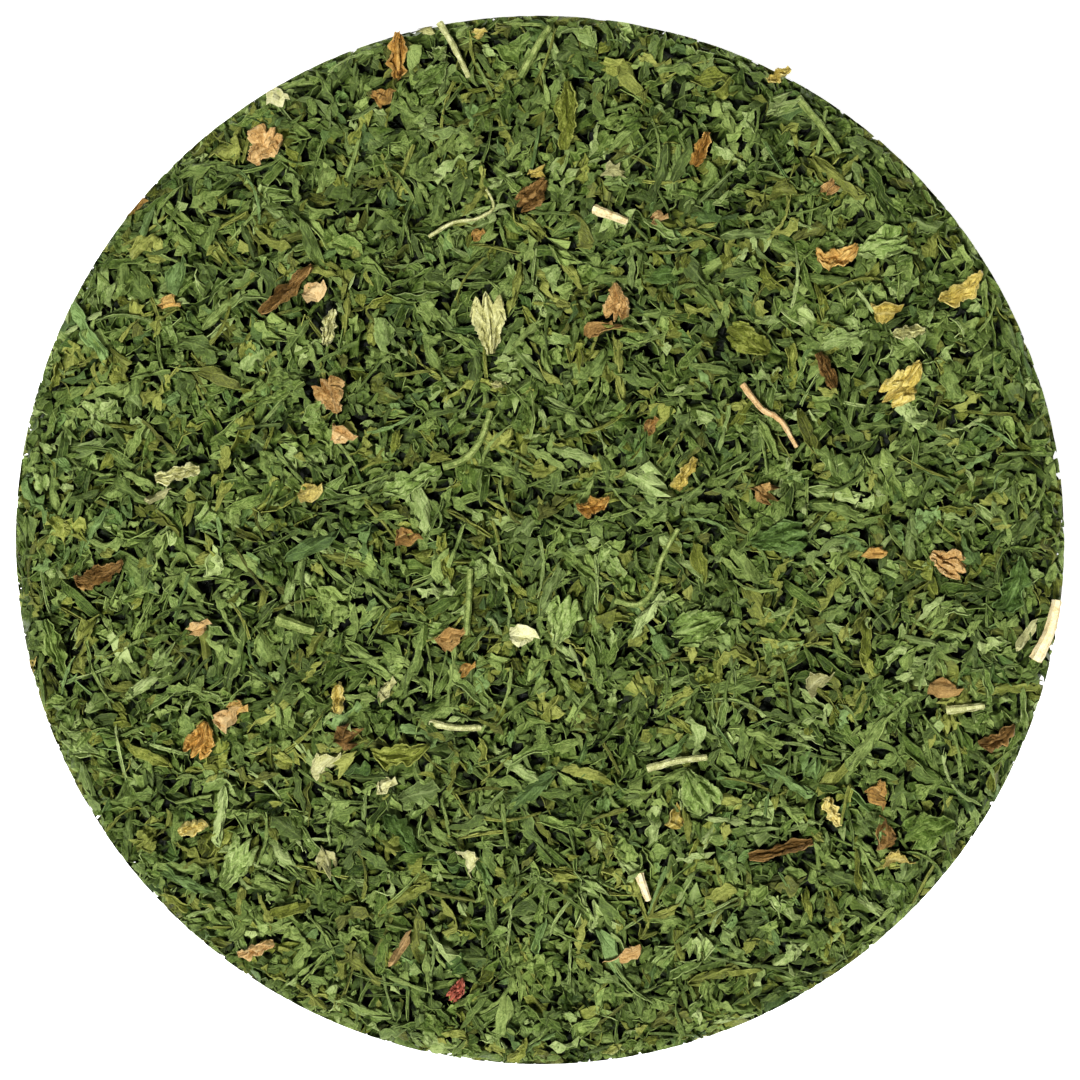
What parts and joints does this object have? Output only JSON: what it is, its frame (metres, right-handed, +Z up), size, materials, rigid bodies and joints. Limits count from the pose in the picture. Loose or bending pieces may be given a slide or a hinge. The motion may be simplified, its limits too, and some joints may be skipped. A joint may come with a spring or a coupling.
{
  "type": "dried parsley flake bed",
  "caption": "Round, level bed of loose dried parsley leaf flakes with coloured leaf bits and stem pieces lying on top.",
  "frame": {"origin": "on the surface the bed lies on, under the centre of the round bed", "axes": "+Z up out of the bed, +X to the right and +Y to the far side as seen from above"},
  "size_m": [0.104, 0.104, 0.0117],
  "materials": {
    "leaf_blue_green": "dry matt leaf, veined and crumpled",
    "leaf_brown": "dry matt leaf, veined and crumpled",
    "leaf_cream": "dry matt leaf, veined and crumpled",
    "leaf_green": "dry matt leaf, veined and crumpled",
    "leaf_light_green": "dry matt leaf, veined and crumpled",
    "leaf_olive": "dry matt leaf, veined and crumpled",
    "leaf_orange": "dry matt leaf, veined and crumpled",
    "leaf_red": "dry matt leaf, veined and crumpled",
    "leaf_tan": "dry matt leaf, veined and crumpled",
    "leaf_yellow": "dry matt leaf, veined and crumpled",
    "stem_green": "dry matt stem",
    "stem_pale": "dry matt stem",
    "stem_straw": "dry matt stem",
    "stem_tan": "dry matt stem"
  },
  "bodies": {
    "root": {"leaf_bed": "leaf_green", "pale_rim_stem": "stem_pale", "tan_green_rim_stem": "stem_green", "thin_curved_stem": "stem_pale", "yellow_stem_piece": "stem_straw", "grey_green_upper_stem": "stem_green", "rolled_left_stem": "stem_green", "leaf_stalk": "stem_green", "grey_green_centre_stem": "stem_green", "curved_green_stem": "stem_green", "whitish_tan_stem": "stem_pale", "long_tan_stem": "stem_tan", "straw_rim_stem": "stem_straw", "pale_right_stem": "stem_pale", "long_pale_lower_stem": "stem_pale", "white_lower_stem": "stem_straw", "tan_crumpled_leaf": "leaf_tan", "brown_curled_leaf": "leaf_brown", "cream_slim_leaf": "leaf_cream", "orange_tan_rim_leaf": "leaf_orange", "yellow_green_rim_leaf": "leaf_light_green", "olive_long_leaf": "leaf_olive", "brown_crumpled_leaf": "leaf_brown", "orange_curled_leaf": "leaf_orange", "pale_three_lobed_leaf": "leaf_cream", "peach_leaf": "leaf_tan", "yellow_small_rim_leaf": "leaf_yellow", "orange_ring_leaf": "leaf_orange", "light_double_lobed_leaf": "leaf_light_green", "yellow_olive_leaf": "leaf_yellow", "cream_side_leaf": "leaf_cream", "yellow_green_fan_leaf": "leaf_olive", "orange_prong_leaf": "leaf_tan", "cream_left_leaf": "leaf_cream", "brown_left_leaf": "leaf_brown", "dark_olive_left_leaf": "leaf_green", "yellow_cream_leaf": "leaf_yellow", "green_leaf_on_stalk": "leaf_light_green", "yellow_centre_leaf": "leaf_yellow", "orange_centre_leaf": "leaf_orange", "light_lobed_centre_leaf": "leaf_light_green", "folded_triangular_leaf": "leaf_light_green", "yellow_right_leaf": "leaf_yellow", "brown_right_leaf": "leaf_brown", "peach_crumpled_leaf": "leaf_tan", "green_right_leaf": "leaf_blue_green", "grey_green_leaf": "leaf_blue_green", "orange_yellow_leaf": "leaf_orange", "yellow_curl_leaf": "leaf_yellow", "pink_tan_leaf": "leaf_tan", "light_green_left_leaf": "leaf_light_green", "olive_flat_leaf": "leaf_olive", "blue_green_leaf": "leaf_blue_green", "red_leaf_bit": "leaf_red", "large_green_lower_leaf": "leaf_light_green", "yellow_lower_leaf": "leaf_yellow", "long_brown_lower_leaf": "leaf_brown", "large_grey_green_leaf": "leaf_green", "orange_brown_rim_leaf": "leaf_brown"}
  },
  "joints": []
}
